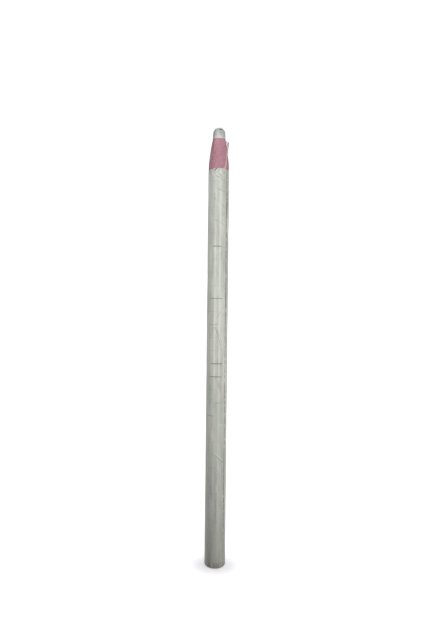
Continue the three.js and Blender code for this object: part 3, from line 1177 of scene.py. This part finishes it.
# The pull thread: three plies of pinkish-white cotton twisted together, laid under the wrapper.
# It comes out over the wrapper's top edge, and its loose end is cut off and frays.
joints = frame["record"]["behaviour"]["joints"]
pivot = Vector(next(joint["pos_m"] for joint in joints if joint["name"] == "thread_swing"))
pivot_reach = pivot.xy.length
thread_centre = ring_radius - thread_radius
root_depth = 3 * mm
root_bend = 0.5 * mm
root_bend_turn = radians(62)
tail_length = 9.2 * mm
tail_lean = radians(7)
tail_curl = 0.5 * mm
tail_sway = 0.22 * mm
tail_steps = 30
ply_count = 3
ply_offset = 0.13 * mm
ply_radius = 0.15 * mm
ply_lay = 1.9 * mm
ply_steps = 5
loose_length = 1.6 * mm
stray_ply = 2
stray_aside = -0.75 * mm
fray_fibres = 15
fibre_steps = 6
fibre_radius = 0.035 * mm
fibre_tip_radius = 0.018 * mm
fibre_spread = 0.42 * mm
thread_seed = 11

thread_out = Vector((sin(thread_azimuth), -cos(thread_azimuth), 0))
thread_aside = Vector((cos(thread_azimuth), sin(thread_azimuth), 0))
cotton_tones = ((0.3, (0.55, 0.36, 0.365)), (0.55, (0.70, 0.51, 0.505)), (0.75, (0.80, 0.65, 0.625)))


def cotton_thread_finish():
    cotton = Finish("cotton_thread", (0.64, 0.47, 0.46), 0.9)
    fuzz = cotton.grain((5200, 5200, 1600), 4, 0.6)
    cotton.tone = cotton.ramp(fuzz, cotton_tones)
    cotton.set("Sheen Weight", 0.15)
    cotton.bump(fuzz, 0.03 * mm, 0.8)
    return cotton.done()


def on_thread_side(radius, z, aside=0.0):
    """A point in the thread's upright plane, or a little aside of it."""
    return thread_out * radius + thread_aside * aside + Vector((0, 0, z))


def thread_route():
    """The middle of the thread, from inside the barrel to its loose end."""
    places = [on_thread_side(thread_centre, wrapper_top - root_depth + step * 0.45 * mm) for step in range(7)]
    for step in range(1, 7):
        turn = root_bend_turn * step / 6
        outward = root_bend * (1 - cos(turn))
        places.append(on_thread_side(thread_centre + outward, pivot.z - root_bend + root_bend * sin(turn)))
    for step in range(1, tail_steps + 1):
        share = step / tail_steps
        rise = tail_length * share
        lean = rise * tan(tail_lean) + tail_curl * share ** 2
        sway = tail_sway * sin(3.2 * share) * share
        places.append(on_thread_side(pivot_reach + lean, pivot.z + rise, sway))
    for _ in range(3):
        for index in range(1, len(places) - 1):
            places[index] = (places[index - 1] + places[index] * 2 + places[index + 1]) / 4
    return places


def strand(places, thick, thin):
    """A round strand along its places, as a closed mesh that tapers from thick to thin."""
    curve = bpy.data.curves.new("strand", "CURVE")
    curve.dimensions = "3D"
    curve.bevel_depth = thick
    curve.bevel_resolution = 2
    curve.use_fill_caps = True
    spline = curve.splines.new("POLY")
    spline.points.add(len(places) - 1)
    for index, place in enumerate(places):
        spline.points[index].co = (*place, 1)
        spline.points[index].radius = 1 + (thin / thick - 1) * index / (len(places) - 1)
    holder = bpy.data.objects.new("strand", curve)
    scene.collection.objects.link(holder)
    bpy.context.view_layer.update()
    mesh = bpy.data.meshes.new_from_object(holder.evaluated_get(bpy.context.evaluated_depsgraph_get()))
    bpy.data.objects.remove(holder)
    return mesh


def ply_route(route, ply):
    """One ply's way round the middle of the thread. The plies part at the end, and one strays."""
    travelled = [0.0]
    for first, second in zip(route, route[1:]):
        travelled.append(travelled[-1] + (second - first).length)
    places = []
    for index in range(len(route) - 1):
        along = (route[index + 1] - route[index]).normalized()
        other = along.cross(thread_aside).normalized()
        for step in range(ply_steps):
            share = step / ply_steps
            run = travelled[index] + share * (travelled[index + 1] - travelled[index])
            left = travelled[-1] - run
            turn = tau * (run / ply_lay + ply / ply_count)
            spread = ply_offset * (1 + 1.1 * max(1 - left / loose_length, 0))
            place = route[index].lerp(route[index + 1], share)
            place += (thread_aside * cos(turn) + other * sin(turn)) * spread
            if ply == stray_ply:
                place += thread_aside * stray_aside * max(1 - left / tail_length, 0) ** 2
            places.append(place)
    return places


def fibre_route(route, dice):
    """One fibre that stands out of the cut end."""
    heading = (route[-1] - route[-4]).normalized()
    side = Vector((dice.uniform(-1, 1), dice.uniform(-1, 1), dice.uniform(-0.3, 0.6)))
    root = route[-1] - heading * dice.uniform(0.5, 1.6) * mm + side * 0.14 * mm
    reach = dice.uniform(0.4, 1.1) * mm
    shares = [step / fibre_steps for step in range(fibre_steps + 1)]
    return [root + heading * reach * share + side * (fibre_spread * share ** 1.6) for share in shares]


def twisted_thread():
    route = thread_route()
    dice = random.Random(thread_seed)
    shape = bmesh.new()
    for ply in range(ply_count):
        shape.from_mesh(strand(ply_route(route, ply), ply_radius, ply_radius))
    for _ in range(fray_fibres):
        shape.from_mesh(strand(fibre_route(route, dice), fibre_radius, fibre_tip_radius))
    bmesh.ops.recalc_face_normals(shape, faces=shape.faces)
    return shape


cotton_thread = cotton_thread_finish()
pull_thread_end = finished_piece("pull_thread_end", twisted_thread(), cotton_thread)
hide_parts("thread_tail")
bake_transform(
    pull_thread_end, "root", "thread_end",
    start=on_thread_side(thread_centre + 0.1 * mm, wrapper_top),
    end=on_thread_side(pivot_reach + 0.05 * mm, pivot.z + 0.9 * mm),
)
inner_thread = frame["nodes"]["pull_thread"]
inner_thread.data.materials.clear()
inner_thread.data.materials.append(cotton_thread)
